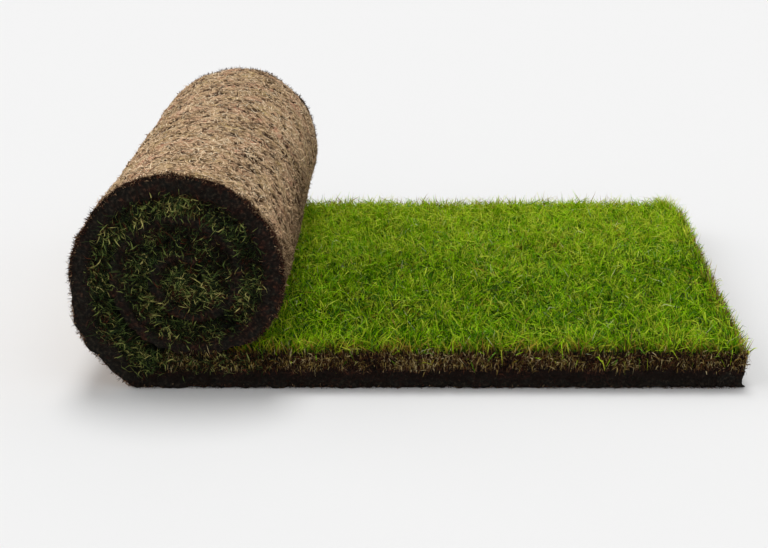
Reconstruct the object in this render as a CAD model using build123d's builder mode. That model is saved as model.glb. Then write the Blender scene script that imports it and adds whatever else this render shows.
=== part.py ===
from build123d import *
import os
from math import asin, atan, cos, degrees, radians, sin, tan

# A roll of turf: one strip of lawn cut with its soil, rolled up with the soil
# outside and the grass inside, and opened again at one end, so that the last
# stretch lies flat with its lawn up.
# Millimetres, +Z up. The roll's axis runs along Y, and the flat stretch points
# along +X. The origin is on the floor, at the middle of the whole piece.

# The strip
strip_width = 400
soil_thickness = 20
pressed_sward = 16
lawn_height = 28

# The piece as it lies. Its end was cut askew, and it was rolled a little askew
# too, so that the far end of the roll stands further along +X than the near end.
near_length = 624
end_skew = 42
roll_skew = 6
corner_radius = 26
lawn_edge_radius = 8

# The roll
roll_height = 212
first_radius = 102.5
quarters = 9
inner_end_radius = 23
inner_end_turn = 50

# The heel, where the roll's weight has slumped the strip onto the floor
heel_radius = 22
heel_slope = 52
heel_run = 45
flank_radius = 50

os.makedirs("parts", exist_ok=True)

pitch = soil_thickness + pressed_sward
lawn_top = soil_thickness + lawn_height
far_length = near_length + end_skew

# Rounding the far corner takes this much off the overall length.
skew_angle = atan(end_skew / strip_width)
corner_loss = corner_radius * (tan(skew_angle) + 1 / cos(skew_angle) - 1)
left = -(far_length - corner_loss) / 2
right = left + far_length
front = -strip_width / 2

# Each quarter turn is tighter than the last by a quarter of the pitch, which
# keeps the turns one pitch apart all round.
radii = [first_radius - pitch / 4 * k for k in range(quarters)]

# The outside of the flank climbs from the floor to the height of the first arc.
heel_height = (
    heel_radius * (1 - cos(radians(heel_slope)))
    + heel_run * sin(radians(heel_slope))
    + flank_radius * cos(radians(heel_slope))
)
flank_run = roll_height - first_radius - heel_height
heel_reach = (
    heel_radius * sin(radians(heel_slope))
    + heel_run * cos(radians(heel_slope))
    + flank_radius * (1 - sin(radians(heel_slope)))
)
floor_run = far_length - heel_reach

# The strip's underside, from its cut end to the middle of the roll, as
# (length, radius, turn) of each stretch: a straight has no turn, an arc no length.
flat_and_heel = [
    (floor_run, 0, 0),
    (0, heel_radius, heel_slope),
    (heel_run, 0, 0),
    (0, flank_radius, 90 - heel_slope),
    (flank_run, 0, 0),
]
turns = [(0, radius, 90) for radius in radii]
inner_end = [(0, inner_end_radius, inner_end_turn)]

# The third quarter of the outer turn dips below the lawn at this angle.
third_centre_height = roll_height - radii[1]
dip_angle = degrees(asin((third_centre_height - lawn_top) / radii[2]))
outside = flat_and_heel + turns[:2] + [(0, radii[2], dip_angle)]

# The section is drawn at the near end and swept straight to the far end.
section_plane = Plane.XZ.offset(strip_width / 2)
across = Vector(roll_skew, strip_width, 0)
end_cut = Plane(
    origin=(right - end_skew, front, 0),
    x_dir=(end_skew, strip_width, 0),
    z_dir=(strip_width, -end_skew, 0),
)


def trace(stretches, height):
    """Draw the stretches clockwise from the cut end, at a height above the underside."""
    point = Vector(right, height)
    heading = Vector(-1, 0)
    for length, radius, turn in stretches:
        if turn:
            edge = JernArc(point, heading, radius - height, -turn)
        else:
            edge = Line(point, point + heading * length)
        point, heading = edge @ 1, edge % 1
    return point


# Soil mat: the one cut sheet of soil and roots, flat, over the heel and round the roll
with BuildPart() as soil_mat:
    with BuildSketch(section_plane) as soil_section:
        with BuildLine():
            under_end = trace(flat_and_heel + turns + inner_end, 0)
            upper_end = trace(flat_and_heel + turns + inner_end, soil_thickness)
            Line(under_end, upper_end)
            Line((right, 0), (right, soil_thickness))
        make_face()
    extrude(amount=across.length, dir=across)
    split(bisect_by=end_cut, keep=Keep.BOTTOM)
    far_corner = soil_mat.edges().filter_by(Axis.Z).sort_by(Axis.X)[-1]
    fillet(far_corner, corner_radius)

# Grass sward: the lawn that grows from the mat, upright on the flat stretch and
# pressed between the turns of the roll, down to its middle
with BuildPart() as grass_sward:
    with BuildSketch(section_plane):
        with BuildLine():
            dip_point = trace(outside, 0)
            Polyline(dip_point, (right, lawn_top), (right, 0))
        make_face()
        add(soil_section.sketch_local, mode=Mode.SUBTRACT)
    extrude(amount=across.length, dir=across)
    split(bisect_by=end_cut, keep=Keep.BOTTOM)
    far_corner = grass_sward.edges().filter_by(Axis.Z).sort_by(Axis.X)[-1]
    fillet(far_corner, corner_radius)
    lawn_face = grass_sward.faces().filter_by(Axis.Z).sort_by(Axis.X)[-1]
    lawn_edges = lawn_face.edges().sort_by(Axis.X)[1:]
    fillet(lawn_edges, lawn_edge_radius)

for name, piece in (("soil_mat", soil_mat), ("grass_sward", grass_sward)):
    piece.part.label = name
    export_step(piece.part, f"parts/{name}.step")
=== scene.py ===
import math

import bmesh
import bpy
import numpy as np
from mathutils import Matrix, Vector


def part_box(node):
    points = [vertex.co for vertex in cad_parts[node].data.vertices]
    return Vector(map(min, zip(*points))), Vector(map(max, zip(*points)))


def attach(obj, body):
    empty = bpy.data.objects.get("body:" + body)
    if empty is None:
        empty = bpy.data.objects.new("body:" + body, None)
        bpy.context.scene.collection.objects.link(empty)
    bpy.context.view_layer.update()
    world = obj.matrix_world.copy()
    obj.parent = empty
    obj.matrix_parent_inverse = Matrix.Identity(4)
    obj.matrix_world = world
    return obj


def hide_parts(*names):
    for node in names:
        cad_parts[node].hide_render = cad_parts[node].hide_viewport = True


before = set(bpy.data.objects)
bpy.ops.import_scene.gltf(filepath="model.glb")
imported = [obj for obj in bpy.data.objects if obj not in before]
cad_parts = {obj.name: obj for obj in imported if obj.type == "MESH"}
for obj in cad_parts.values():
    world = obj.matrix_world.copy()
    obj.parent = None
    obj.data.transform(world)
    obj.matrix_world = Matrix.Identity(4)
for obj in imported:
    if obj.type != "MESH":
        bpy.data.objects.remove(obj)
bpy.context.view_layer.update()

LOW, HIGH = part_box("soil_mat")
MM = 0.001

# The strip and the roll, in metres, with the solids' own driving dimensions
WIDTH = HIGH.y - LOW.y
EDGE = WIDTH / 2
SOIL = 20 * MM
PRESSED = 16 * MM
LAWN = 28 * MM
FAR_LENGTH = 666 * MM
END_SKEW = 42 * MM
ROLL_SKEW = 6 * MM
CORNER = 26 * MM
RIGHT = LOW.x + FAR_LENGTH
ROLL_HEIGHT = HIGH.z
FIRST_RADIUS = 102.5 * MM
QUARTERS = 9
INNER_RADIUS = 23 * MM
INNER_TURN = 50
HEEL_RADIUS = 22 * MM
HEEL_SLOPE = 52
HEEL_RUN = 45 * MM
FLANK_RADIUS = 50 * MM

# The camera, fitted to the photograph's outline
CAMERA_PLACE = (-0.0462, -1.022, 0.486)
CAMERA_PITCH = 24.1
CAMERA_LENS = 46.9


# The path of the strip


def strip_stretches():
    """(length, radius, turn in degrees) of each stretch of the underside, from the cut end."""
    slope = math.radians(HEEL_SLOPE)
    rise = HEEL_RADIUS * (1 - math.cos(slope)) + HEEL_RUN * math.sin(slope)
    rise += FLANK_RADIUS * math.cos(slope)
    reach = HEEL_RADIUS * math.sin(slope) + HEEL_RUN * math.cos(slope)
    reach += FLANK_RADIUS * (1 - math.sin(slope))
    pitch = SOIL + PRESSED
    stretches = [
        (FAR_LENGTH - reach, 0, 0),
        (0, HEEL_RADIUS, HEEL_SLOPE),
        (HEEL_RUN, 0, 0),
        (0, FLANK_RADIUS, 90 - HEEL_SLOPE),
        (ROLL_HEIGHT - FIRST_RADIUS - rise, 0, 0),
    ]
    stretches += [(0, FIRST_RADIUS - pitch / 4 * k, 90) for k in range(QUARTERS)]
    return stretches + [(0, INNER_RADIUS, INNER_TURN)]


def strip_table():
    """Start, place, heading and radius of each stretch, walking clockwise from the cut end."""
    s, x, z, hx, hz = 0.0, RIGHT, 0.0, -1.0, 0.0
    rows = []
    for length, radius, turn in strip_stretches():
        rows.append((s, x, z, hx, hz, radius))
        angle = math.radians(turn)
        tx = hx * math.cos(angle) + hz * math.sin(angle)
        tz = hz * math.cos(angle) - hx * math.sin(angle)
        x += radius * (hz - tz) + length * hx
        z += radius * (tx - hx) + length * hz
        s += length + radius * angle
        hx, hz = tx, tz
    return np.array(rows), s


STRIP, STRIP_END = strip_table()
HEEL_START = STRIP[1, 0]
# The quarter turns start at the roll's left side, its top, its right side, its foot, and so on.
TURN_STARTS = STRIP[5:, 0]
ROLL_START, ROLL_TOP, ROLL_RIGHT = TURN_STARTS[:3]
# The roll's outside shows as far as this, and then dips into the lawn.
OUTSIDE_END = ROLL_RIGHT + 0.085
# The centre and radius of the quarter turn that dips into the lawn
DIP_X = STRIP[7, 1] - STRIP[7, 5]
DIP_Z = STRIP[7, 2]
DIP_RADIUS = STRIP[7, 5]
# How far along the strip the roll's lowest point lies over the lawn
UNDER_ROLL = RIGHT - DIP_X


def askew(y):
    """How far along +X the strip lies at y, because it was rolled askew."""
    return ROLL_SKEW * (0.5 + y / WIDTH)


def place(s, y, h):
    """Points in space for places on the strip: s along it, y across it, h above its underside."""
    k = np.clip(np.searchsorted(STRIP[:, 0], s, side="right") - 1, 0, len(STRIP) - 1)
    start, px, pz, hx, hz, radius = STRIP[k].T
    run = s - start
    curved = radius > 0
    angle = np.where(curved, run / np.where(curved, radius, 1), 0)
    tx = hx * np.cos(angle) + hz * np.sin(angle)
    tz = hz * np.cos(angle) - hx * np.sin(angle)
    x = px + np.where(curved, radius * (hz - tz), run * hx) + h * tz + askew(y)
    z = pz + np.where(curved, radius * (tx - hx), run * hz) - h * tx
    return np.stack([x, y + 0 * x, z], -1)


def cut_line(y):
    """Where the skewed cut end lies along the strip, with its rounded far corner."""
    past = np.clip((y - (EDGE - CORNER)) / CORNER, 0, 1)
    return END_SKEW * (0.5 - y / WIDTH) + askew(y) + CORNER * (1 - np.sqrt(1 - past**2))


def inset(y):
    """How far y lies inside the nearer cut side."""
    return EDGE - np.abs(y)


def ramp(value, start, end):
    """0 before start, 1 after end, and smooth in between."""
    t = np.clip((value - start) / (end - start), 0, 1)
    return t * t * (3 - 2 * t)


def grass_room(s):
    """Height that the grass has above the soil: the whole lawn, or less under and in the roll."""
    heel_swell, core_swell = 9 * MM, 8 * MM
    x = RIGHT - s
    under = np.clip((x - DIP_X) / DIP_RADIUS, 0, 1)
    roof = DIP_Z - DIP_RADIUS * np.sqrt(1 - under**2) - SOIL
    flat = np.where(x > DIP_X + DIP_RADIUS, LAWN, np.minimum(LAWN, roof))
    over_heel = np.clip((s - HEEL_START + 0.03) / 0.16, 0, 1)
    core = core_swell * ramp(s, TURN_STARTS[7], TURN_STARTS[8])
    rolled = PRESSED + heel_swell * np.sin(np.pi * over_heel) ** 2 + core
    return np.where(x > DIP_X, flat, rolled)


# Random fields

LATTICE = 256
LATTICE_SHIFT = (17.3, 41.7)
NEAR_CRUMBS, FAR_CRUMBS, END_CRUMBS = 11, 21, 31


def smooth_noise(u, v, cell, seed):
    """A random field of 0 to 1, with features one cell across; a cell may differ along u and v."""
    lattice = np.random.default_rng(seed).random((LATTICE, LATTICE))
    cu, cv = cell if isinstance(cell, tuple) else (cell, cell)
    gu, gv = u / cu + LATTICE_SHIFT[0], v / cv + LATTICE_SHIFT[1]
    iu, iv = np.floor(gu).astype(int), np.floor(gv).astype(int)
    fu, fv = gu - iu, gv - iv
    fu, fv = fu * fu * (3 - 2 * fu), fv * fv * (3 - 2 * fv)
    a, b, c, d = iu % LATTICE, (iu + 1) % LATTICE, iv % LATTICE, (iv + 1) % LATTICE
    near = lattice[a, c] * (1 - fu) + lattice[b, c] * fu
    far = lattice[a, d] * (1 - fu) + lattice[b, d] * fu
    return near * (1 - fv) + far * fv


def layered(u, v, *layers):
    """Smooth noises added up, each given as (cell, seed, weight)."""
    return sum(weight * smooth_noise(u, v, cell, seed) for cell, seed, weight in layers)


def uneven(u, v, height, cell, seed, level=0.5):
    """Smooth noise as ups and downs about a level, with a height between its extremes."""
    return height * (smooth_noise(u, v, cell, seed) - level)


def torn_pits(s, y):
    """0 to 1: where the rolled underside is torn down to dark soil, in short marks round it."""
    marks = layered(s, y, ((0.007, 0.005), 4, 0.4), ((0.0036, 0.003), 40, 0.6))
    bare = uneven(s, y, 0.22, (0.05, 0.08), 5)
    cracks = layered(s, y, ((0.012, 0.006), 43, 0.6), ((0.005, 0.003), 44, 0.4))
    both = np.maximum(ramp(marks + bare, 0.54, 0.83), ramp(cracks, 0.67, 0.84))
    return both * ramp(inset(y), 0.001, 0.007)


def rim_soil(s, y):
    """0 to 1: where the mat near the cut sides is dark, widest low on the roll's inner side."""
    width = (3.5 + 9 * ramp(s, ROLL_TOP + 0.03, ROLL_RIGHT + 0.03)) * MM
    ragged = width * (0.1 + 1.8 * smooth_noise(s, y, (0.006, 0.004), 41))
    return 1 - ramp(inset(y), 0.3 * ragged, ragged)


def painted_shade(s, y):
    """0 to 1: painted shade on the roll's outside: low on its inner side, and under its heel."""
    wavy = s + 0.02 * smooth_noise(s, y, 0.03, 42)
    inner = ramp(wavy, ROLL_TOP + 0.08, ROLL_RIGHT + 0.01)
    inner = inner * (1 - 0.6 * ramp(y, -0.05, EDGE))
    return np.maximum(inner, 0.5 * (1 - ramp(s, HEEL_START, ROLL_START)))


def roll_slump(s, y):
    """How far out of round the roll is: fuller at its far end, flatter at its near shoulder."""
    over_top = ((s - ROLL_START) / (ROLL_RIGHT - ROLL_START)).clip(0, 1)
    fuller = 3.5 * np.sin(np.pi * over_top)
    fuller = fuller - 2.5 * ramp(s, ROLL_TOP + 0.08, ROLL_RIGHT + 0.02)
    shoulder = np.exp(-(((s - ROLL_START - 0.07) / 0.05) ** 2))
    flatter = 4 * shoulder * (1 - ramp(y, -EDGE, 0.15))
    return (fuller * ramp(y, -0.1, EDGE) - flatter) * MM


def root_relief(s, y):
    """How far the rolled underside stands out: lumps, matted roots, torn pits and the slump."""
    lumps = uneven(s, y, 2.4, 0.045, 1) + uneven(s, y, 1.8, (0.02, 0.014), 2)
    mat = uneven(s, y, 2.2, (0.008, 0.005), 3)
    rolled = ramp(s, HEEL_START - 0.005, HEEL_START + 0.03)
    return (lumps + mat - 1.6 * torn_pits(s, y)) * MM * rolled + roll_slump(s, y)


def crumble(s, h, seed):
    """How far a cut face stands out, in clods on the flat and in grains everywhere."""
    flat = 1 - 0.75 * ramp(s, HEEL_START, ROLL_START)
    clods = uneven(s, h, 2.2, 0.021, seed, 0.55) + uneven(s, h, 2.2, 0.008, seed + 1)
    return (clods * flat + uneven(s, h, 2.4, 0.0035, seed + 2)) * MM


def side_crumble(s, y, h):
    """How far the cut side on y's side of the strip stands out."""
    return np.where(y < 0, crumble(s, h, NEAR_CRUMBS), crumble(s, h, FAR_CRUMBS))


# Materials

MAP_NAME = "OFBake"
# The soil's map holds the whole strip: its metres are the map's, moved and scaled to 0 to 1.
MAP_START = (-0.03, -0.23)
MAP_SIZE = (1.76, 0.88)


def material(name, roughness, specular=0.25):
    """A new material with its node tree and Principled node."""
    mat = bpy.data.materials.new(name)
    mat.use_nodes = True
    tree = mat.node_tree
    shader = tree.nodes["Principled BSDF"]
    shader.inputs["Roughness"].default_value = roughness
    shader.inputs["Specular IOR Level"].default_value = specular
    return mat, tree, shader


def srgb(r, g, b):
    """A linear colour from numbers of 0 to 255 as seen on a screen."""
    levels = [c / 255 for c in (r, g, b)]
    return [c / 12.92 if c < 0.04045 else ((c + 0.055) / 1.055) ** 2.4 for c in levels] + [1]


def add(tree, kind, **settings):
    """A node of a kind, with its settings."""
    node = tree.nodes.new("ShaderNode" + kind)
    for key, value in settings.items():
        setattr(node, key, value)
    return node


def feed(tree, *pairs):
    """For each (socket, value): links the socket to another, or sets its number or colour."""
    for socket, value in pairs:
        if isinstance(value, bpy.types.NodeSocket):
            tree.links.new(value, socket)
        elif socket.type == "RGBA":
            socket.default_value = srgb(*value)
        else:
            socket.default_value = value


def colour_ramp(tree, source, stops):
    """A colour ramp fed by source, with (position, sRGB colour) stops."""
    node = add(tree, "ValToRGB")
    elements = node.color_ramp.elements
    while len(elements) < len(stops):
        elements.new(0.5)
    for element, (position, colour) in zip(elements, stops):
        element.position = position
        element.color = srgb(*colour)
    tree.links.new(source, node.inputs["Fac"])
    return node.outputs["Color"]


def mix(tree, factor, a, b):
    """A mix of two colours, from a at a factor of 0 to b at 1."""
    node = add(tree, "Mix", data_type="RGBA")
    feed(tree, (node.inputs["Factor"], factor), (node.inputs[6], a), (node.inputs[7], b))
    return node.outputs[2]


def mix_shaders(tree, factor, a, b, output):
    """Gives an output node's surface a mix of two shaders."""
    node = add(tree, "MixShader")
    feed(tree, (node.inputs["Fac"], factor), (node.inputs[1], a), (node.inputs[2], b))
    tree.links.new(node.outputs[0], tree.nodes[output].inputs["Surface"])


def maths(tree, operation, *values):
    """The result of a Math node, each value a socket or a number."""
    node = add(tree, "Math", operation=operation)
    feed(tree, *zip(node.inputs, values))
    return node.outputs[0]


def noise(tree, vector, scale, detail=3.0, stretch=(1, 1, 1)):
    """A noise value over vector, with its features stretched along each axis."""
    mapping = add(tree, "Mapping", vector_type="POINT")
    mapping.inputs["Scale"].default_value = [scale / k for k in stretch]
    texture = add(tree, "TexNoise")
    texture.inputs["Scale"].default_value = 1
    texture.inputs["Detail"].default_value = detail
    tree.links.new(vector, mapping.inputs["Vector"])
    tree.links.new(mapping.outputs["Vector"], texture.inputs["Vector"])
    return texture.outputs["Fac"]


def between(tree, value, low, high):
    """value's stretch from low to high, spread over 0 to 1 and smoothed."""
    node = add(tree, "MapRange", interpolation_type="SMOOTHSTEP")
    limits = (node.inputs["From Min"], low), (node.inputs["From Max"], high)
    feed(tree, (node.inputs["Value"], value), *limits)
    return node.outputs["Result"]


def parts_of(tree, vector):
    """The three numbers of a vector."""
    node = add(tree, "SeparateXYZ")
    tree.links.new(vector, node.inputs["Vector"])
    return node.outputs


def bump(tree, shader, height, distance):
    """Gives the shader a bump from a height of 0 to 1, distance metres high."""
    node = add(tree, "Bump")
    feed(tree, (node.inputs["Distance"], distance), (node.inputs["Height"], height))
    tree.links.new(node.outputs["Normal"], shader.inputs["Normal"])


def blade_material(name, tip_stops, foot_stops, foot, roughness, through):
    """Grass or roots, lit through: the map's u is a blade's own tone, and its v runs up it.

    foot says between which heights the foot's colour passes into the tip's.
    """
    mat, tree, shader = material(name, roughness, 0.12)
    tone, along, _ = parts_of(tree, add(tree, "UVMap", uv_map=MAP_NAME).outputs["UV"])
    tips = colour_ramp(tree, tone, tip_stops)
    feet = colour_ramp(tree, tone, foot_stops)
    colour = mix(tree, between(tree, along, *foot), feet, tips)
    lit_through = add(tree, "BsdfTranslucent")
    feed(tree, (shader.inputs["Base Color"], colour), (lit_through.inputs["Color"], colour))
    surfaces = shader.outputs["BSDF"], lit_through.outputs["BSDF"]
    mix_shaders(tree, through, *surfaces, "Material Output")
    return mat


def strip_metres(tree):
    """The soil map's place on the strip, in metres, as a vector."""
    uv = add(tree, "UVMap", uv_map=MAP_NAME)
    mapping = add(tree, "Mapping", vector_type="POINT")
    mapping.inputs["Scale"].default_value = (*MAP_SIZE, 1)
    tree.links.new(uv.outputs["UV"], mapping.inputs["Vector"])
    return mapping.outputs["Vector"]


def root_mat_material():
    """The matted underside: tan roots, reddish and yellowish in patches, dark torn pits, and
    painted shade low on the roll's inner side and under its heel.
    """
    mat, tree, shader = material("Root_Mat", 0.95, 0.15)
    at = strip_metres(tree)
    streaks = noise(tree, at, 640, 3, (2.2, 1, 1))
    base = colour_ramp(tree, streaks, ROOT_MAT_STREAKS)
    patch = colour_ramp(tree, noise(tree, at, 34, 4), ROOT_MAT_PATCHES)
    # The torn attribute brings torn pits and dark rims, and painted shade low on the inner side
    # and under the heel.
    torn = add(tree, "Attribute", attribute_name="torn").outputs["Fac"]
    rough = maths(tree, "MULTIPLY_ADD", noise(tree, at, 500, 3, (2, 1, 1)), 1.15, torn)
    pits_and_shade = between(tree, rough, 0.58, 1.12)
    colour = mix(tree, pits_and_shade, mix(tree, 0.5, base, patch), (66, 47, 33))
    tree.links.new(colour, shader.inputs["Base Color"])
    bump(tree, shader, streaks, 1.5 * MM)
    return mat


def cut_soil_material():
    """The cut faces: dark crumbs, warmer near the top, at the cut end and in the roll."""
    mat, tree, shader = material("Cut_Soil", 0.95, 0.15)
    at = strip_metres(tree)
    crumbs = noise(tree, at, 330, 4)
    along, across, _ = parts_of(tree, at)
    height = maths(tree, "ABSOLUTE", across)
    near_top = between(tree, height, EDGE + 6 * MM, EDGE + 16 * MM)
    at_end = between(tree, along, -11 * MM, -21 * MM)
    in_roll = between(tree, along, HEEL_START - 0.1, HEEL_START + 0.5)
    rooted = maths(tree, "MAXIMUM", maths(tree, "MAXIMUM", near_top, at_end), in_roll)
    tinge = maths(tree, "MULTIPLY_ADD", rooted, 0.14, noise(tree, at, 90, 4))
    dark = colour_ramp(tree, crumbs, DARK_CRUMBS)
    warm = colour_ramp(tree, crumbs, WARM_CRUMBS)
    colour = mix(tree, between(tree, tinge, 0.56, 0.84), dark, warm)
    tree.links.new(colour, shader.inputs["Base Color"])
    bump(tree, shader, crumbs, 1.5 * MM)
    return mat


def pressed_material():
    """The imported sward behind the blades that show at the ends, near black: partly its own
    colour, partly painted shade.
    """
    mat, tree, shader = material("Pressed_Sward", 0.9, 0.15)
    strands = noise(tree, add(tree, "TexCoord").outputs["Object"], 300, 4)
    tree.links.new(colour_ramp(tree, strands, PRESSED_STRANDS), shader.inputs["Base Color"])
    bump(tree, shader, strands, 1.5 * MM)
    return mat


# Meshes

# Grass and roots hang past the cuts by less than this, and stay this far off the floor.
OVERHANG = 8 * MM
OFF_FLOOR = 0.3 * MM


def new_piece(name, points, corners, counts, materials, uv, slots=None):
    """A piece from arrays: all faces' corners in a row, and each face's number of corners."""
    mesh = bpy.data.meshes.new(name)
    mesh.vertices.add(len(points))
    mesh.vertices.foreach_set("co", np.ascontiguousarray(points, np.float32).ravel())
    mesh.loops.add(len(corners))
    mesh.loops.foreach_set("vertex_index", corners.astype(np.int32))
    mesh.polygons.add(len(counts))
    mesh.polygons.foreach_set("loop_start", (np.cumsum(counts) - counts).astype(np.int32))
    for item in materials:
        mesh.materials.append(item)
    if slots is not None:
        mesh.polygons.foreach_set("material_index", slots.astype(np.int32))
    layer = mesh.uv_layers.new(name=MAP_NAME)
    layer.uv.foreach_set("vector", np.ascontiguousarray(uv, np.float32).ravel())
    mesh.update(calc_edges=True)
    mesh.validate()
    mesh.shade_smooth()
    piece = bpy.data.objects.new(name, mesh)
    bpy.context.scene.collection.objects.link(piece)
    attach(piece, "root")
    return piece


def held_in(out):
    """A distance past a cut, drawn in smoothly to less than OVERHANG."""
    return OVERHANG * (1 - np.exp(-out / OVERHANG))


def drawn_in(y):
    """y with what hangs past the cut sides drawn in."""
    out = np.maximum(np.abs(y) - EDGE, 0)
    return np.sign(y) * (np.minimum(np.abs(y), EDGE) + held_in(out))


def on_strip(s, y, h):
    """Points in space for places on the strip, with what hangs past its cuts drawn in."""
    end = cut_line(np.clip(y, -EDGE, EDGE))
    return place(np.maximum(s, end) - held_in(np.maximum(end - s, 0)), drawn_in(y), h)


def ribbons(name, spine, side, tone, mat):
    """A piece of tapering ribbons in space: spine is (ribbon, level, xyz), side half the width."""
    count, levels = spine.shape[:2]
    pairs = levels - 1
    left = spine[:, :pairs] - side[:, :pairs]
    right = spine[:, :pairs] + side[:, :pairs]
    body = np.stack([left, right], 2).reshape(count, 2 * pairs, 3)
    points = np.concatenate([body, spine[:, -1:]], 1).reshape(-1, 3)
    points[:, 2] = np.maximum(points[:, 2], OFF_FLOOR)
    along = np.append(np.repeat(np.arange(pairs), 2), pairs) / pairs
    quads = [(2 * j, 2 * j + 1, 2 * j + 3, 2 * j + 2) for j in range(pairs - 1)]
    tip = [2 * pairs - 2, 2 * pairs - 1, 2 * pairs]
    pattern = np.array([i for quad in quads for i in quad] + tip)
    corners = (pattern + np.arange(count)[:, None] * (2 * pairs + 1)).ravel()
    counts = np.tile([4] * (pairs - 1) + [3], count)
    uv = np.stack([np.repeat(tone, len(pattern)), np.tile(along[pattern], count)], -1)
    return new_piece(name, points, corners, counts, [mat], uv)


def strip_ribbons(name, spine, side, tone, mat):
    """Ribbons whose spines and half-width vectors are in the strip's s, y and h."""
    middle = on_strip(*spine.reshape(-1, 3).T).reshape(spine.shape)
    rim = on_strip(*(spine + side).reshape(-1, 3).T).reshape(spine.shape)
    return ribbons(name, middle, rim - middle, tone, mat)


def blades(rng, foot, up, out, length, lean, droop, width, levels):
    """Spines and half-width vectors of blades, which leave foot along up and bend towards out."""
    t = np.linspace(0, 1, levels + 1)[None, :, None]
    up, out = up[:, None], out[:, None]
    lean, length, droop = (a[:, None, None] for a in (lean, length, droop))
    bend = lean + droop * t**2
    direction = np.sin(bend) * out + np.cos(bend) * up
    steps = np.concatenate([0 * direction[:, :1], direction[:, 1:] / levels], 1)
    spine = foot[:, None] + length * np.cumsum(steps, 1)
    across = np.cross(up, out)
    one_each = (len(foot), 1, 1)
    facing = rng.uniform(0, np.pi, one_each) + rng.normal(0, 0.5, one_each) * t
    side = np.cos(facing) * across + np.sin(facing) * np.cross(across, direction)
    # Widest about a quarter of the way up, and narrow at the tip
    profile = (0.75 + 0.6 * t - 1.1 * t**2).clip(0.1, 1)
    return spine, side * profile * (width / 2)[:, None, None]


def upright(azimuth):
    """The up and out vectors of blades on the strip that lean towards azimuth."""
    up = np.tile([0.0, 0.0, 1.0], (len(azimuth), 1))
    return up, np.stack([np.cos(azimuth), np.sin(azimuth), 0 * azimuth], -1)


def unit(vectors):
    """Vectors brought to a length of 1."""
    return vectors / np.linalg.norm(vectors, axis=1, keepdims=True)


def sideways(rng, up):
    """A random unit vector square to each of up."""
    return unit(np.cross(up, rng.normal(0, 1, up.shape)))


# Soil

SOIL_LEVELS = 12
FINE_COLUMNS = 183
# The fine columns that a coarse ring keeps, closer together near the cut sides
COARSE_COLUMNS = [0, 2, 6, 24, 58, 91, 124, 158, 176, 180, 182]
# Which side of the soil a face is on
UNDERSIDE, FAR_SIDE, TOP_SIDE, NEAR_SIDE, INNER_END, CUT_END = range(6)


def ring(bottom, top):
    """One loop round the strip's section: its y, h and a key that rises by one for each side."""
    heights = np.linspace(0, SOIL, SOIL_LEVELS)[1:-1]
    y = np.concatenate([bottom, 0 * heights + EDGE, top[::-1], 0 * heights - EDGE])
    h = np.concatenate([0 * bottom, heights, 0 * top + SOIL, heights[::-1]])
    sides = (bottom + EDGE) / WIDTH, 1 + heights / SOIL, 2 + (EDGE - top[::-1]) / WIDTH
    return y, h, np.concatenate([*sides, 4 - heights[::-1] / SOIL])


def stitched(keys_a, keys_b, first_a, first_b):
    """Faces between two rings, and their sides. The finer ring has all the coarser one's keys."""
    if len(keys_a) >= len(keys_b):
        fine, coarse, first_fine, first_coarse = keys_a, keys_b, first_a, first_b
    else:
        fine, coarse, first_fine, first_coarse = keys_b, keys_a, first_b, first_a
    at = np.searchsorted(fine, coarse - 1e-6)
    faces = []
    for i in range(len(coarse)):
        j = (i + 1) % len(coarse)
        stop = at[j] if j else len(fine)
        run = [first_fine + k % len(fine) for k in range(at[i], stop + 1)]
        faces.append((first_coarse + j, first_coarse + i, *run))
    return faces, list(np.floor(coarse + 1e-6).astype(int))


def soil_rows():
    """(s, ring) of each row of the soil's mesh: fine rings where the roll's outside shows."""
    fine_y = np.linspace(-EDGE, EDGE, FINE_COLUMNS)
    coarse_y = fine_y[COARSE_COLUMNS]
    middling_y = fine_y[sorted({*COARSE_COLUMNS, *range(0, FINE_COLUMNS, 8)})]
    end, flat, turn = ring(fine_y, fine_y), ring(coarse_y, coarse_y), ring(fine_y, middling_y)
    end_stop, turn_start, turn_stop = 0.012, HEEL_START - 0.01, ROLL_RIGHT + 0.09
    rows = [(s, end) for s in np.arange(0, end_stop, 0.002)]
    rows += [(s, flat) for s in np.arange(end_stop, turn_start, 0.002)]
    rows += [(s, turn) for s in np.arange(turn_start, turn_stop, 0.0024)]
    return rows + [(s, flat) for s in np.linspace(turn_stop, STRIP_END, 270)]


def cut_end_grid(rim_y, rim_h, first):
    """Faces and added (s, y, h) places of the cut end, a grid that shares its rim with a ring."""
    grid_y, grid_h = np.linspace(-EDGE, EDGE, FINE_COLUMNS), np.linspace(0, SOIL, SOIL_LEVELS)
    rim = {(round(y, 6), round(h, 6)): k for k, (y, h) in enumerate(zip(rim_y, rim_h))}
    index = np.zeros((len(grid_y), len(grid_h)), int)
    added = []
    for a, y in enumerate(grid_y):
        for b, h in enumerate(grid_h):
            key = (round(y, 6), round(h, 6))
            index[a, b] = rim.get(key, first + len(added))
            if key not in rim:
                added.append((0.0, y, h))
    faces = [
        (index[a, b], index[a, b + 1], index[a + 1, b + 1], index[a + 1, b])
        for a in range(len(grid_y) - 1)
        for b in range(len(grid_h) - 1)
    ]
    return faces, np.array(added)


def soil_map(side, s, y, h):
    """The soil's map at each corner of a face: s and y, or on the cuts s or y and h."""
    across = np.select(
        [side == UNDERSIDE, side == FAR_SIDE, side == TOP_SIDE, side == NEAR_SIDE],
        [y, EDGE + h, WIDTH + SOIL - EDGE + (EDGE - y), -EDGE - h],
        y,
    )
    past_end = np.where(side == INNER_END, STRIP_END + 0.005 + h, s)
    along = np.where(side == CUT_END, -0.005 - h, past_end)
    return (np.stack([along, across], -1) - MAP_START) / MAP_SIZE


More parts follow.
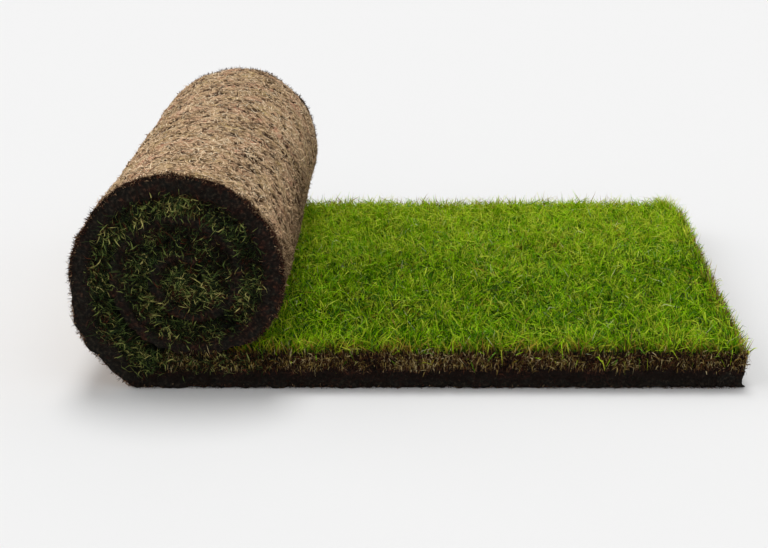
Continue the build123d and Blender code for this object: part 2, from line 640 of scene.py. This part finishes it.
def soil_displaced(s, y, h):
    """Moves the soil's places from the plain strip to its rough surface."""
    from_edge = np.exp(-inset(y) / 0.008)
    from_end = np.exp(-s / 0.012)
    lip = 3 * MM * (1 - ramp(h, 0, 0.005))
    shift = cut_line(y) * (1 - ramp(s, 0, 0.1)) - (crumble(y, h, END_CRUMBS) + lip) * from_end
    under = 1 - ramp(h, 0, 0.006)
    over = ramp(h, 0.014, 0.020)
    chipped = ramp(smooth_noise(s, 0 * s + np.sign(y), 0.0045, 15), 0.3, 1)
    chips = 2 * MM * chipped * (1 - ramp(inset(y), 0, 0.004))
    new_h = h + (chips - root_relief(s, y)) * under + uneven(s, y, 1.5 * MM, 0.01, 6) * over
    return s + shift, y + np.sign(y) * side_crumble(s, y, h) * from_edge, new_h


def soil_piece(root_mat, cut_soil):
    """The whole cut sheet of soil as one closed mesh, with how torn or dark it is as "torn",
    painted shade included.
    """
    rows = soil_rows()
    places, faces, sides = [], [], []
    first = 0
    for i, (s, (y, h, keys)) in enumerate(rows):
        if i:
            new_faces, new_sides = stitched(last_keys, keys, last_first, first)
            faces += new_faces
            sides += new_sides
        places.append((np.full(len(y), s), y, h))
        last_keys, last_first = keys, first
        first += len(y)
    faces.append(tuple(range(last_first, first)))
    sides.append(INNER_END)
    end_faces, added = cut_end_grid(*rows[0][1][:2], first)
    faces += end_faces
    sides = np.array(sides + [CUT_END] * len(end_faces))
    s, y, h = (np.concatenate(a) for a in zip(*places, added.T))
    counts = np.array([len(f) for f in faces])
    corners = np.array([i for f in faces for i in f])
    uv = soil_map(np.repeat(sides, counts), s[corners], y[corners], h[corners])
    points = place(*soil_displaced(s, y, h))
    points[:, 2] = np.maximum(points[:, 2], 0)
    slots = np.where(sides == UNDERSIDE, 0, 1)
    piece = new_piece("turf_soil", points, corners, counts, [root_mat, cut_soil], uv, slots)
    torn = piece.data.attributes.new("torn", "FLOAT", "POINT")
    # Torn pits and dark rims, and painted shade low on the roll's inner side and under its heel
    dark = np.maximum(torn_pits(s, y) + 0.4 * painted_shade(s, y), 0.8 * rim_soil(s, y))
    torn.data.foreach_set("value", dark.astype(np.float32))
    outward = bmesh.new()
    outward.from_mesh(piece.data)
    bmesh.ops.recalc_face_normals(outward, faces=outward.faces)
    outward.to_mesh(piece.data)
    outward.free()
    return piece


def outer_fibres(rng, mat):
    """Roots matted on the rolled underside, mostly round the roll, and some that stand off it."""
    count, levels = 44000, 2
    s = rng.uniform(HEEL_START - 0.015, OUTSIDE_END, count)
    y = rng.uniform(-EDGE + 1 * MM, EDGE - 1 * MM, count)
    kept = rng.random(count) > 0.6 * torn_pits(s, y)
    s, y = s[kept], y[kept]
    count = len(s)
    angle = rng.normal(0, 1, count) * rng.choice([0.4, 1.2], count)
    angle = angle + np.pi * rng.integers(0, 2, count)
    length = rng.uniform(3, 11, count) * MM
    curl = rng.normal(0, 0.9, count)
    t = np.linspace(0, 1, levels + 1)
    bend = angle[:, None] + curl[:, None] * t
    step = length[:, None] / levels
    ds = np.cumsum(np.cos(bend) * step, 1) - np.cos(bend[:, :1]) * step
    dy = np.cumsum(np.sin(bend) * step, 1) - np.sin(bend[:, :1]) * step
    at_s, at_y = s[:, None] + ds, np.clip(y[:, None] + dy, -EDGE, EDGE)
    arch = rng.uniform(0.1, 0.9, (count, 1)) * MM * np.sin(np.pi * t)
    heel = 1 - ramp(s, ROLL_START - 0.03, ROLL_START + 0.06)
    loose = (rng.random(count) < 0.04 + 0.16 * heel)[:, None]
    stand_off = loose * rng.uniform(1, 5, (count, 1)) * MM * t**1.5
    at_h = -root_relief(at_s, at_y) - 0.15 * MM - arch - stand_off
    half = rng.uniform(0.25, 0.6, (count, 1)) * MM
    side = np.stack([-np.sin(bend) * half, np.cos(bend) * half, 0 * bend], -1)
    tone = np.clip(rng.beta(0.8, 0.8, count) + uneven(s, y, 0.3, 0.03, 7), 0, 1)
    # Fibres are darker at the dark rims, and darkened as painted shade low on the roll's inner
    # side and under its heel.
    tone = tone * (1 - 0.85 * rim_soil(s, y)) * (1 - 0.5 * painted_shade(s, y))
    return strip_ribbons("root_fibres", np.stack([at_s, at_y, at_h], -1), side, tone, mat)


def rim_fuzz(rng, mat):
    """Short dark roots that stand out from the rims of the roll and the lower rims of the flat."""
    count = 11000
    sign = np.where(rng.random(count) < 0.6, -1.0, 1.0)
    start = np.where(rng.random(count) < 0.4, ROLL_START, cut_line(sign * EDGE) + 4 * MM)
    s = rng.uniform(start, OUTSIDE_END)
    foot = np.stack([s, sign * (EDGE - rng.uniform(-1, 3, count) * MM), 0 * s], -1)
    foot[:, 2] = rng.uniform(0, 4, count) * MM * ramp(s, 0, HEEL_START)
    foot[:, 2] -= root_relief(s, foot[:, 1])
    rolled = ramp(s, HEEL_START, HEEL_START + 0.03)
    down = unit(np.stack([0 * s, sign * rng.uniform(0, 1.2, count), -rolled + 0.2], -1))
    out = sideways(rng, down)
    length = rng.uniform(1.5, 5.5, count) * MM
    width = rng.uniform(0.3, 0.8, count) * MM
    lean, droop = rng.normal(0, 0.5, count), rng.normal(0, 1.0, count)
    spine, side = blades(rng, foot, down, out, length, lean, droop, width, 2)
    return strip_ribbons("rim_roots", spine, side, rng.random(count) ** 1.2, mat)


def cut_fibres(rng, mat):
    """Roots that show on the cut sides of the soil, most of them in its upper half."""
    count = 12000
    sign = rng.choice([-1.0, 1.0], count)
    flat = rng.uniform(cut_line(sign * EDGE) + 3 * MM, HEEL_START)
    s = np.where(rng.random(count) < 0.7, flat, rng.uniform(HEEL_START, STRIP_END, count))
    high = rng.random(count) < 0.7
    upper = np.where(high, rng.beta(3.5, 1.3, count), rng.beta(1.8, 1.5, count))
    h = SOIL * np.where(s > HEEL_START, rng.beta(2, 1.2, count), upper)
    angle = rng.normal(np.pi / 2, 0.7, count)
    length = rng.uniform(3, 10, count) * MM
    t = np.linspace(0, 1, 3)
    bend = angle[:, None] + rng.normal(0, 0.8, (count, 1)) * t
    at_s = s[:, None] + np.cos(bend) * length[:, None] * t
    at_h = h[:, None] + np.sin(bend) * length[:, None] * t
    at_h = np.clip(at_h, OFF_FLOOR, SOIL + 8 * MM)
    stand = side_crumble(at_s, sign[:, None], at_h)
    stand = stand + 0.3 * MM + rng.uniform(0, 2, (count, 1)) * MM * t
    half = rng.uniform(0.15, 0.5, (count, 1)) * MM
    spine = np.stack([at_s, sign[:, None] * (EDGE + stand), at_h], -1)
    side = np.stack([-np.sin(bend) * half, 0 * bend, np.cos(bend) * half], -1)
    by_height = 0.3 + 0.7 * ramp(h, 0.5 * SOIL, 0.95 * SOIL)
    in_tufts = 0.45 + 0.75 * ramp(smooth_noise(s, h, 0.012, 19), 0.4, 0.75)
    tone = (rng.random(count) ** 2.2 * by_height * in_tufts).clip(0, 1)
    return strip_ribbons("cut_roots", spine, side, tone, mat)


# Grass


def lawn_half(rng, name, low_y, high_y, mat):
    """The upright lawn between two lines across the strip."""
    count = 36000
    y = rng.uniform(low_y, high_y, count)
    s_end = UNDER_ROLL - 25 * MM
    s = cut_line(y) + rng.random(count) * (s_end - cut_line(y))
    patch = layered(s, y, (0.04, 8, 0.5), (0.012, 9, 0.5))
    edge = np.minimum(inset(y), s - cut_line(y))
    # Blades near the edges stand straighter
    inside = 0.7 + 0.3 * ramp(edge, 0, 0.02)
    lean = np.abs(rng.normal(0.1, 0.28, count)) * inside
    droop = (np.abs(rng.normal(0.8, 1.0, count)) * inside).clip(0, 2.6)
    share = (rng.normal(1.0, 0.13, count) + 0.25 * (patch - 0.5)).clip(0.5, 1.25)
    reach = grass_room(s) * share + 5 * MM * ramp(y, EDGE - 0.08, EDGE)
    length = reach / np.cos((lean + droop * 0.4).clip(0, 0.9))
    width = rng.uniform(0.7, 2.0, count) * MM
    foot = np.stack([s, y, 0 * s + SOIL - MM], -1)
    azimuth = rng.uniform(0, 2 * np.pi, count)
    # Most blades that lean outwards near an edge are turned inwards, and the rest cut short
    beside = inset(y) < s - cut_line(y)
    outward = np.where(beside, np.sign(y) * np.sin(azimuth), -np.cos(azimuth)) > 0
    turned = (edge < 0.028) & outward & (rng.random(count) < np.where(beside, 0.8, 0.65))
    over = (edge < 0.02) & outward & ~turned & beside
    length = length * (1 - 0.45 * over * (1 - ramp(edge, 0, 0.02)))
    up, out = upright(azimuth + np.pi * turned)
    spine, side = blades(rng, foot, up, out, length, lean, droop, width, 3)
    # The far side's blades are paler: painted light, for the brighter lawn there.
    painted_far_light = 0.3 * ramp(y, -0.05, EDGE)
    tone = 0.06 + 0.95 * rng.random(count) + 0.3 * (patch - 0.5) + painted_far_light
    tone = tone.clip(0.17, 0.92)
    dry = smooth_noise(s, y, 0.022, 13)
    rim = 1 - ramp(edge, 0.001, 0.010)
    dead = 0.015 + 0.3 * ramp(dry, 0.78, 0.95) + np.where(beside, 0.55, 0.25) * rim
    brown = np.where(beside, 0.03, 0.07)
    tone = np.where(rng.random(count) < dead, rng.uniform(brown, 0.13), tone)
    # A few blades are near white: painted highlights.
    tone = np.where(rng.random(count) < 0.02, rng.uniform(0.92, 1, count), tone)
    return strip_ribbons(name, spine, side, tone, mat)


def edge_thatch(rng, mat):
    """Stems and dead blades along the three cut sides of the lawn, between soil and green."""
    near_count, far_count, end_count = 16500, 6500, 5000
    groups = []
    s_end = UNDER_ROLL - 10 * MM
    for sign, count in ((-1, near_count), (1, far_count)):
        s = rng.uniform(0, s_end, count) + cut_line(np.full(count, sign * EDGE))
        y = sign * (EDGE - rng.uniform(-2, 4, count) * MM)
        groups.append((s, y, np.full(count, sign * np.pi / 2)))
    y = rng.uniform(-EDGE, EDGE, end_count)
    s = cut_line(y) + rng.uniform(-1, 5, end_count) * MM
    groups.append((s, y, np.full(end_count, np.pi)))
    s, y, outward = (np.concatenate(a) for a in zip(*groups))
    count = len(s)
    at_end = outward > 2
    foot = np.stack([s, y, SOIL + rng.uniform(-3, 13, count) * MM], -1)
    up, out = upright(outward + rng.normal(0, 1.0, count))
    tuft = ramp(smooth_noise(s + y, 0 * s, 0.012, 20), 0.45, 0.75)
    hanging = (rng.random(count) < 0.05 + 0.22 * tuft) & (foot[:, 2] > SOIL + 3 * MM)
    lean = rng.normal(0.9, 0.4, count), np.abs(rng.normal(0.05, 0.35, count))
    droop = rng.normal(1.2, 0.8, count), rng.normal(0.2, 0.9, count)
    lean, droop = np.where(hanging, *lean), np.where(hanging, *droop)
    length = rng.uniform(4, 12 + 4 * (at_end | hanging)) * MM
    width = rng.uniform(0.6, 1.4, count) * MM
    spine, side = blades(rng, foot, up, out, length, lean, droop, width, 2)
    tone = rng.random(count) ** 1.3 + uneven(s, y, 0.3, 0.02, 17)
    # Hanging stems and those at the cut end are pale: pale dead stems, and at the cut end also
    # painted light on the fringe.
    tone = np.where(hanging | at_end, 0.76 + 0.24 * rng.random(count), tone).clip(0, 1)
    return strip_ribbons("edge_thatch", spine, side, tone, mat)


def end_grass(rng, name, sign, count, mat):
    """Grass at one end of the roll: too long for the gaps, it curls out over the turns."""
    s = rng.uniform(UNDER_ROLL - DIP_RADIUS * 0.8, STRIP_END + 25 * MM, count)
    y = sign * (EDGE - rng.uniform(-2, 5, count) * MM)
    deep = -3 - 9 * ramp(s, ROLL_RIGHT, TURN_STARTS[4])
    foot = place(s, y, SOIL + rng.uniform(deep, 12) * MM)
    grown = place(s, y, SOIL + MM) - place(s, y, SOIL)
    turned = rng.normal(0, 0.7, (count, 3)) * (1, 0.2, 1)
    up = unit(grown / MM + turned + (0, sign * 0.3, 0))
    out = sideways(rng, up)
    over_heel = (s - HEEL_START + 0.04) / (ROLL_START - HEEL_START + 0.04)
    heel = np.sin(np.pi * over_heel.clip(0, 1))
    length = (6 + 14 * rng.beta(1.3, 1.8, count)) * (1 + 0.5 * heel) * MM
    width = rng.uniform(0.6, 1.3, count) * MM
    lean, droop = rng.normal(0, 0.3, count), rng.normal(0, 1.7, count)
    spine, side = blades(rng, foot, up, out, length, lean, droop, width, 3)
    # No blade reaches deeper than this behind the cut
    deepest = EDGE - 6 * MM
    spine_y = spine[..., 1]
    spine[..., 1] = drawn_in(np.where(sign * spine_y < deepest, sign * deepest, spine_y))
    x, _, z = foot.T
    tuft = layered(x, z, (0.013, 14, 0.6), (0.03, 16, 0.4))
    tone = (0.14 + 0.8 * rng.random(count) ** 2 + 0.9 * (tuft - 0.45)).clip(0.12, 1)
    brown = 0.05 + 0.4 * ramp(smooth_noise(x, z, 0.016, 18), 0.6, 0.8)
    tone = np.where(rng.random(count) < brown, rng.uniform(0, 0.12, count), tone)
    return ribbons(name, spine, side, tone, mat)


def pressed_sward(mat):
    """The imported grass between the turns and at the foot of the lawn, as one closed body."""
    rows = np.arange(0.004, STRIP_END + 0.05, 0.005)
    across = np.linspace(-EDGE + 4 * MM, EDGE - 4 * MM, 25)
    y = np.concatenate([across, across[-1:], across[::-1], across[:1]])
    level = np.concatenate([0 * across, [0.5], 0 * across + 1, [0.5]])
    size = len(y)
    s = np.repeat(rows, size)
    y, level = np.tile(y, len(rows)), np.tile(level, len(rows))
    x = RIGHT - s
    thatch = 15 * MM
    top = np.where(x > DIP_X + 15 * MM, thatch, grass_room(s) + 1 * MM)
    top = top + uneven(s, y, 3 * MM, 0.006, 10) * (x > DIP_X)
    base = np.where(s > STRIP_END, MM, SOIL - MM)
    h = base + level * (SOIL - MM + top - base)
    ends = 2.5 * MM * smooth_noise(s, h, 0.004, 12)
    y = y - np.sign(y) * ends * (np.abs(y) > EDGE - 6 * MM)
    shift = (cut_line(y) + 4 * MM) * (1 - ramp(s, 0, 0.1))
    points = place(s + shift, y, h)
    i = np.arange(len(rows) - 1)[:, None] * size
    j = np.arange(size)
    k = (j + 1) % size
    quads = np.stack([i + j, i + k, i + size + k, i + size + j], -1).reshape(-1)
    corners = np.concatenate([quads, j[::-1], j + len(points) - size])
    counts = np.array([4] * (len(quads) // 4) + [size, size])
    uv = np.stack([s[corners] / STRIP_END, (y[corners] + EDGE) / WIDTH], -1)
    return new_piece("pressed_sward", points, corners, counts, [mat], uv)


# Stage

FLOOR_REACH = 12.0
SKY_STRENGTH = 0.34
# Name, strength, angle across, and tilts about X and Y, all in degrees
SUNS = [
    ("from_behind", 1.4, 24, -14, 0),
    ("from_left", 1.15, 60, 0, -60),
    ("from_right", 0.52, 60, 0, 38),
]


def plain_floor():
    """The pale floor."""
    reach = FLOOR_REACH
    mesh = bpy.data.meshes.new("floor")
    rim = [(-reach, -reach, 0), (reach, -reach, 0), (reach, reach, 0), (-reach, reach, 0)]
    mesh.from_pydata(rim, [], [(0, 1, 2, 3)])
    mat, _, shader = material("Floor", 0.9, 0.0)
    shader.inputs["Base Color"].default_value = srgb(236, 236, 236)
    mesh.materials.append(mat)
    floor = bpy.data.objects.new("floor", mesh)
    bpy.context.scene.collection.objects.link(floor)


def studio_light():
    """An even white sky that is seen as pale grey, and three broad suns."""
    world = bpy.data.worlds.new("Studio")
    bpy.context.scene.world = world
    world.use_nodes = True
    tree = world.node_tree
    light = tree.nodes["Background"]
    light.inputs["Color"].default_value = (1, 1, 1, 1)
    light.inputs["Strength"].default_value = SKY_STRENGTH
    seen = add(tree, "Background")
    seen.inputs["Color"].default_value = srgb(243, 243, 243)
    path = add(tree, "LightPath").outputs
    looked_at = maths(tree, "MAXIMUM", path["Is Camera Ray"], path["Is Glossy Ray"])
    mix_shaders(tree, looked_at, light.outputs[0], seen.outputs[0], "World Output")
    for name, strength, across, tilt_x, tilt_y in SUNS:
        sun = bpy.data.lights.new(name, "SUN")
        sun.energy = strength
        sun.angle = math.radians(across)
        lamp = bpy.data.objects.new(name, sun)
        lamp.rotation_euler = (math.radians(tilt_x), math.radians(tilt_y), 0)
        bpy.context.scene.collection.objects.link(lamp)


def photo_camera():
    """The camera at the photograph's viewing angle."""
    camera = bpy.data.objects.new("camera", bpy.data.cameras.new("camera"))
    camera.location = CAMERA_PLACE
    camera.rotation_euler = (math.radians(90 - CAMERA_PITCH), 0, 0)
    camera.data.lens = CAMERA_LENS
    camera.data.sensor_width = 36
    camera.data.clip_end = 60
    bpy.context.scene.collection.objects.link(camera)
    bpy.context.scene.camera = camera


# Colours, as (position, sRGB colour) stops

ROOT_MAT_STREAKS = [
    (0.32, (66, 46, 30)),
    (0.48, (156, 126, 94)),
    (0.66, (252, 224, 186)),
]
ROOT_MAT_PATCHES = [
    (0.32, (206, 180, 112)),
    (0.5, (212, 177, 136)),
    (0.68, (238, 165, 138)),
]
DARK_CRUMBS = [
    (0.32, (10, 9, 8)),
    (0.52, (28, 25, 20)),
    (0.7, (56, 49, 40)),
]
WARM_CRUMBS = [
    (0.32, (20, 11, 9)),
    (0.52, (50, 28, 21)),
    (0.7, (92, 58, 40)),
]
# Near black: partly the pressed sward's own colour, partly painted shade between the turns and
# under the lawn.
PRESSED_STRANDS = [
    (0.35, (10, 11, 6)),
    (0.55, (24, 26, 12)),
    (0.75, (46, 44, 22)),
]
# Over a blade's or a root's own tone: in the lawn and at the ends, the lowest tones are dead
LAWN_TIPS = [
    (0.0, (112, 72, 36)),
    (0.07, (176, 140, 54)),
    (0.12, (214, 196, 60)),
    (0.16, (32, 74, 0)),
    (0.4, (100, 172, 0)),
    (0.7, (200, 255, 2)),
    (0.92, (244, 255, 76)),
    # Tones past 0.92, pale to near white, are painted highlights on a few blades.
    (1.0, (252, 254, 214)),
]
# Lawn blades are dark green low down: partly their own colour, partly painted shade deep in the
# lawn.
LAWN_FEET = [
    (0.0, (60, 38, 24)),
    (0.5, (12, 24, 2)),
    (1.0, (40, 56, 12)),
]
# The end grass and its feet are dark: partly the grass's own colour, partly painted shade in the
# roll's ends.
END_TIPS = [
    (0.0, (112, 60, 36)),
    (0.06, (64, 36, 24)),
    (0.12, (12, 13, 7)),
    (0.36, (32, 46, 24)),
    (0.62, (80, 104, 50)),
    (0.82, (158, 174, 92)),
    (1.0, (240, 230, 140)),
]
END_FEET = [
    (0.0, (14, 10, 7)),
    (0.5, (36, 32, 16)),
    (1.0, (104, 66, 40)),
]
THATCH_TIPS = [
    (0.0, (20, 14, 10)),
    (0.4, (50, 31, 21)),
    (0.66, (98, 54, 32)),
    (0.8, (106, 78, 38)),
    (0.9, (188, 164, 84)),
    (1.0, (240, 222, 168)),
]
THATCH_FEET = [
    (0.0, (14, 10, 8)),
    (0.5, (40, 25, 18)),
    (1.0, (120, 86, 56)),
]
ROOTS = [
    (0.0, (70, 50, 34)),
    (0.3, (176, 143, 106)),
    (0.65, (238, 205, 164)),
    (1.0, (254, 234, 199)),
]
CUT_ROOTS = [
    (0.0, (24, 17, 13)),
    (0.5, (56, 33, 25)),
    (0.85, (112, 68, 48)),
    (1.0, (206, 178, 138)),
]


# The scene

root_mat = root_mat_material()
cut_soil = cut_soil_material()
# The lawn blades' dark feet, from 0.32 to 0.92 of their height, are partly painted shade deep in
# the lawn.
lawn_green = blade_material("Lawn_Grass", LAWN_TIPS, LAWN_FEET, (0.32, 0.92), 0.45, 0.27)
end_green = blade_material("End_Grass", END_TIPS, END_FEET, (0.1, 0.6), 0.55, 0.3)
stems = blade_material("Thatch", THATCH_TIPS, THATCH_FEET, (0.1, 0.8), 0.7, 0.2)
roots = blade_material("Roots", ROOTS, ROOTS, (0, 1), 0.8, 0.1)
cut_roots = blade_material("Cut_Roots", CUT_ROOTS, CUT_ROOTS, (0, 1), 0.8, 0.1)

soil = soil_piece(root_mat, cut_soil)
soil_fibres = outer_fibres(np.random.default_rng(101), roots)
face_fibres = cut_fibres(np.random.default_rng(102), cut_roots)
rim_fibres = rim_fuzz(np.random.default_rng(108), cut_roots)
for piece in (soil, soil_fibres, face_fibres, rim_fibres):
    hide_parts("soil_mat")

grass = [
    lawn_half(np.random.default_rng(103), "lawn_near_half", -EDGE, 0, lawn_green),
    lawn_half(np.random.default_rng(104), "lawn_far_half", 0, EDGE, lawn_green),
    edge_thatch(np.random.default_rng(105), stems),
    end_grass(np.random.default_rng(106), "roll_grass_near_end", -1, 16000, end_green),
    end_grass(np.random.default_rng(107), "roll_grass_far_end", 1, 13000, end_green),
    pressed_sward(pressed_material()),
]
for piece in grass:
    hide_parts("grass_sward")

plain_floor()
studio_light()
photo_camera()
bpy.context.scene.view_settings.view_transform = "Standard"
